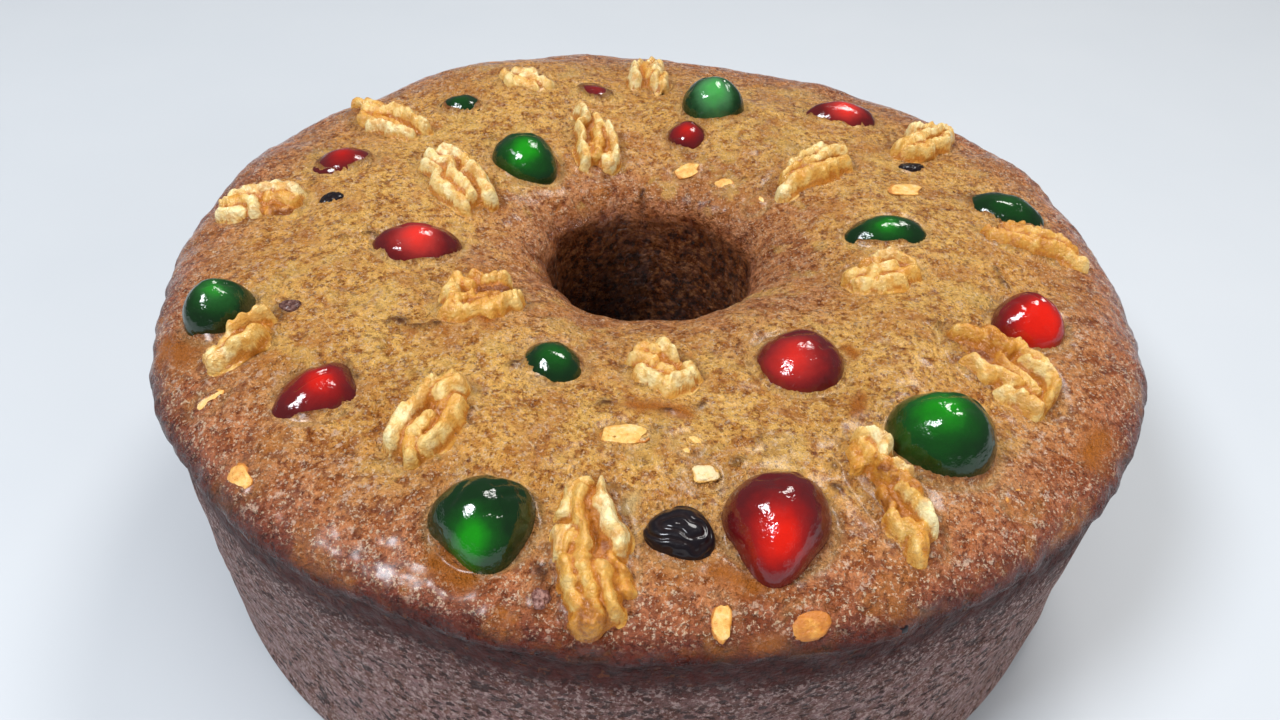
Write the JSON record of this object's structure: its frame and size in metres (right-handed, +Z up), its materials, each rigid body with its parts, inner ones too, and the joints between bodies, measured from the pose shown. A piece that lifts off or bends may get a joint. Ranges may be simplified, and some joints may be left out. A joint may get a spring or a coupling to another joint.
{
  "type": "christmas ring cake",
  "caption": "Ring-shaped fruit cake with a risen crown, tapering wall and centre hole, topped with red and green glace cherries, walnut halves and raisins.",
  "frame": {"origin": "on the axis of the ring, at the surface that the base rests on", "axes": "+Z up along the axis of the ring; -Y towards the viewer of the picture, +X to the viewer's right"},
  "size_m": [0.2346, 0.234, 0.0887],
  "materials": {
    "crust": "baked crust, lightly glazed",
    "red_glace": "clear glossy candied fruit",
    "green_glace": "clear glossy candied fruit",
    "walnut": "baked nut, lightly glazed",
    "raisin": "glossy and wrinkled"
  },
  "bodies": {
    "root": {"cake": "crust", "cherry_red_1": "red_glace", "cherry_red_2": "red_glace", "cherry_red_3": "red_glace", "cherry_red_4": "red_glace", "cherry_red_5": "red_glace", "cherry_red_6": "red_glace", "cherry_red_7": "red_glace", "cherry_red_8": "red_glace", "cherry_red_9": "red_glace", "cherry_green_1": "green_glace", "cherry_green_2": "green_glace", "cherry_green_3": "green_glace", "cherry_green_4": "green_glace", "cherry_green_5": "green_glace", "cherry_green_6": "green_glace", "cherry_green_7": "green_glace", "cherry_green_8": "green_glace", "cherry_green_9": "green_glace", "walnut_1": "walnut", "walnut_2": "walnut", "walnut_3": "walnut", "walnut_4": "walnut", "walnut_5": "walnut", "walnut_6": "walnut", "walnut_7": "walnut", "walnut_8": "walnut", "walnut_9": "walnut", "walnut_10": "walnut", "walnut_11": "walnut", "walnut_12": "walnut", "walnut_13": "walnut", "walnut_14": "walnut", "walnut_15": "walnut", "walnut_16": "walnut", "walnut_17": "walnut", "raisin_1": "raisin", "raisin_2": "raisin", "raisin_3": "raisin", "raisin_4": "raisin", "raisin_5": "raisin", "raisin_6": "raisin"}
  },
  "joints": []
}
